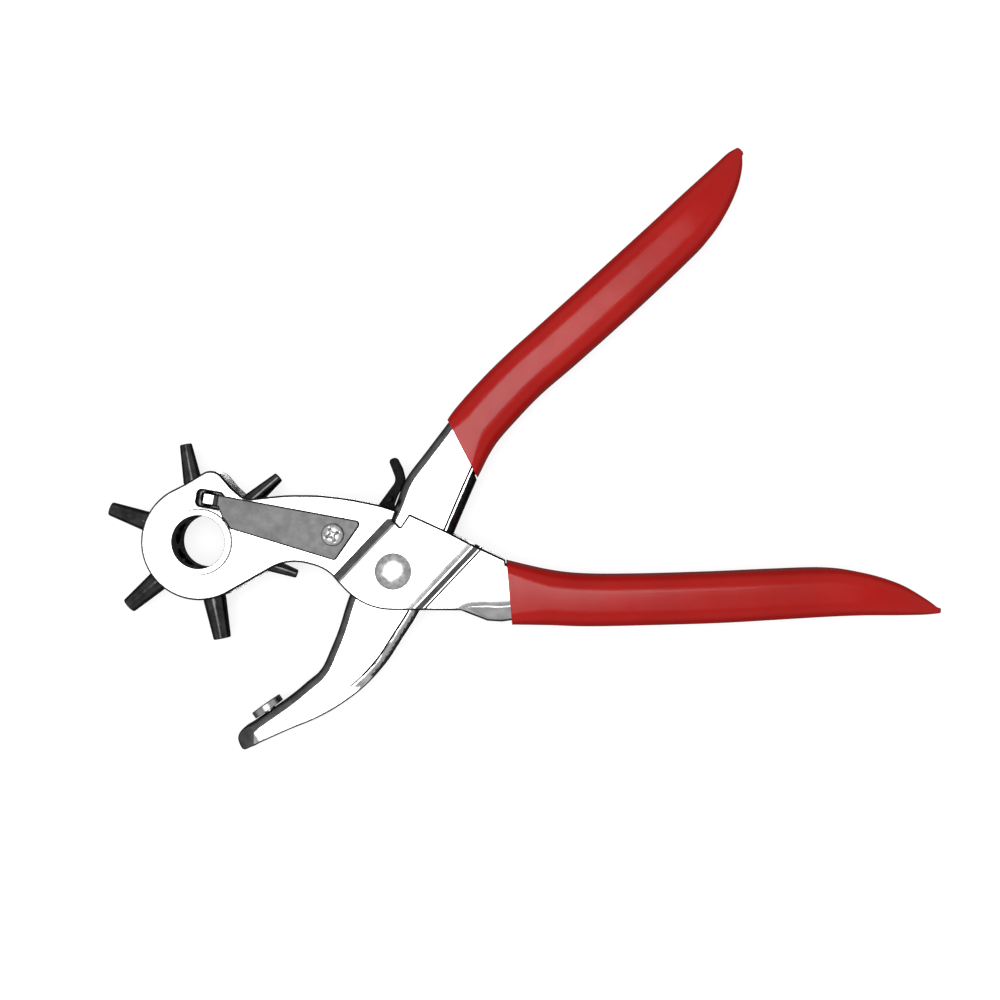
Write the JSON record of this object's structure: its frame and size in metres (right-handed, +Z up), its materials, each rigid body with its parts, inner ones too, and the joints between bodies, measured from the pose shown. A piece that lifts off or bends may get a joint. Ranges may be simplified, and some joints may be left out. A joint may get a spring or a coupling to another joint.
{
  "type": "rotary hole punch pliers",
  "caption": "Hand pliers with a turning wheel of hollow punches on one jaw, a round anvil on the other, a leaf index spring, a thumb catch and dipped grips.",
  "frame": {"origin": "on the main pivot's axis, at the flat face of the pivot rivet's back head", "axes": "the tool lies flat on its back: +X towards the handles, +Y towards the upper handle, +Z up along the pivot's axis towards the face with the index spring"},
  "size_m": [0.2341, 0.168, 0.0188],
  "materials": {
    "nickel_plate": "bright nickel plate",
    "bright_steel": "bright turned",
    "spring_steel": "satin grey",
    "black_steel": "gloss black",
    "red_vinyl": "dipped, semi-gloss"
  },
  "bodies": {
    "wheel_lever_body": {"wheel_lever": "nickel_plate", "lower_grip": "red_vinyl", "pivot_rivet": "bright_steel", "hub_eyelet_front": "nickel_plate", "hub_eyelet_back": "nickel_plate", "index_spring": "spring_steel", "spring_screw": "bright_steel", "spring_nut": "bright_steel", "opening_spring": "spring_steel"},
    "anvil_lever_body": {"anvil_lever": "nickel_plate", "upper_grip": "red_vinyl", "anvil": "bright_steel", "catch_pin": "bright_steel", "pivot_bush": "bright_steel"},
    "wheel_body": {"punch_wheel": "black_steel", "punch_tube_2_0_mm": "black_steel", "punch_tube_2_5_mm": "black_steel", "punch_tube_3_0_mm": "black_steel", "punch_tube_3_5_mm": "black_steel", "punch_tube_4_0_mm": "black_steel", "punch_tube_4_5_mm": "black_steel"},
    "catch_body": {"lock_catch": "black_steel"}
  },
  "joints": [
    {"name": "handle_pivot", "type": "hinge", "parent": "wheel_lever_body", "child": "anvil_lever_body", "pos_m": [0, 0, 0.009], "axis": [0, 0, 1], "range_deg": [-24, 0], "stiffness_Nm_per_rad": 0.4, "springref_deg": 45.84, "deforming": ["opening_spring"]},
    {"name": "wheel_spin", "type": "hinge", "parent": "wheel_lever_body", "child": "wheel_body", "pos_m": [-0.05385, 0.0081, 0.009], "axis": [0, 0, 1], "continuous": true, "deforming": ["index_spring"]},
    {"name": "catch_swing", "type": "hinge", "parent": "anvil_lever_body", "child": "catch_body", "pos_m": [0.0054, 0.013, 0.009], "axis": [0, 0, 1], "range_deg": [0, 8]}
  ]
}
